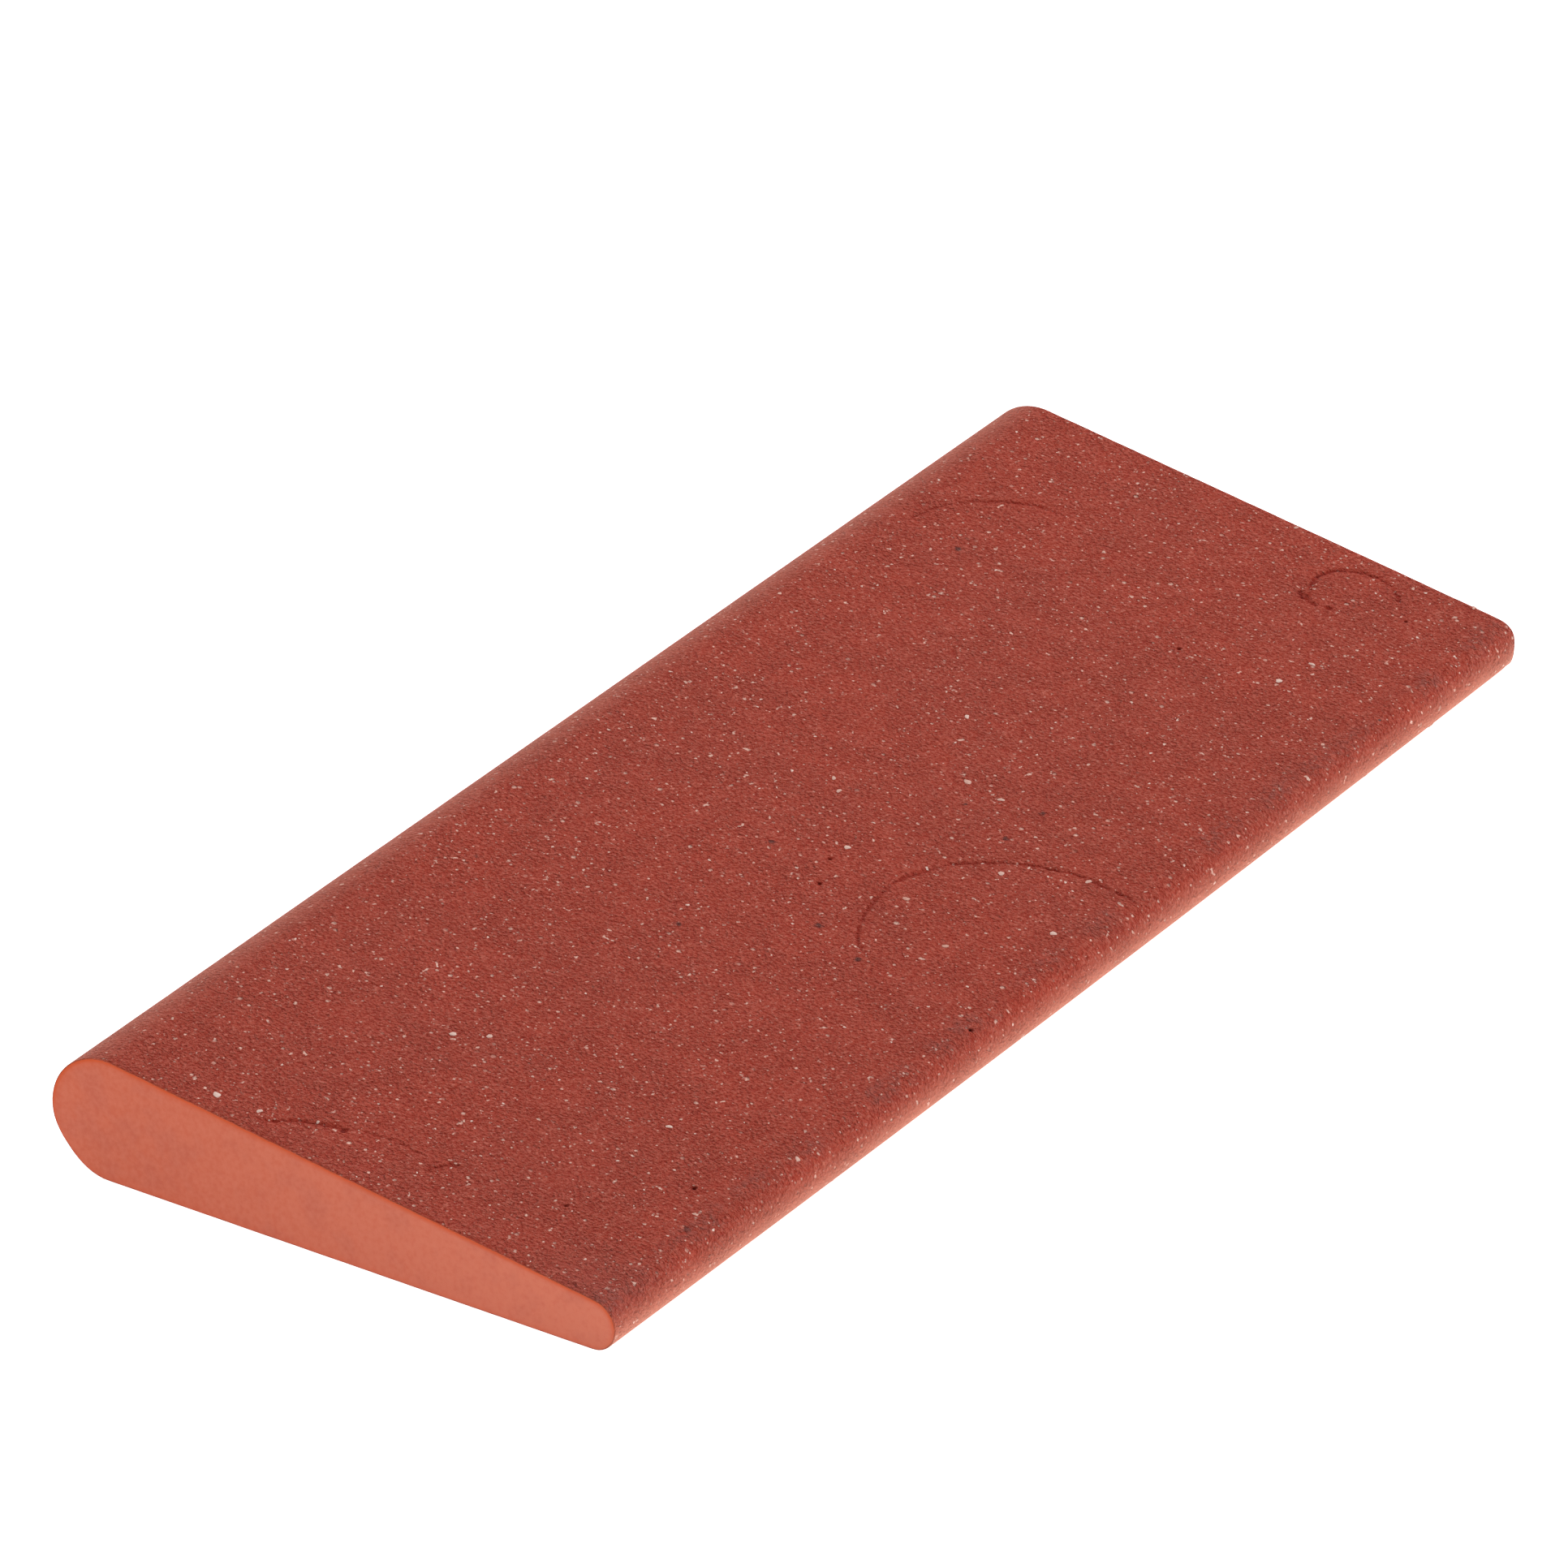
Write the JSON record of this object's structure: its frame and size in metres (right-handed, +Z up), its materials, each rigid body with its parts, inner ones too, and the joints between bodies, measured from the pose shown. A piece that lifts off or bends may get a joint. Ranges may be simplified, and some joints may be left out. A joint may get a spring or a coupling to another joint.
{
  "type": "sharpening slip stone",
  "caption": "Flat tapered honing stone with a teardrop section: a thick round back, a thin round edge, two flat faces between them and square sawn ends.",
  "frame": {"origin": "under the middle of the stone's box, on the lower flat face that it lies on", "axes": "+X along the length towards the far end, -Y the thin round edge, +Y the thick round back, +Z up from the lower flat face"},
  "size_m": [0.1, 0.04, 0.0081],
  "materials": {
    "fired_abrasive": "matte brick-red fired abrasive, finely granular, with pale and dark grains"
  },
  "bodies": {
    "root": {"slip_stone": "fired_abrasive"}
  },
  "joints": []
}
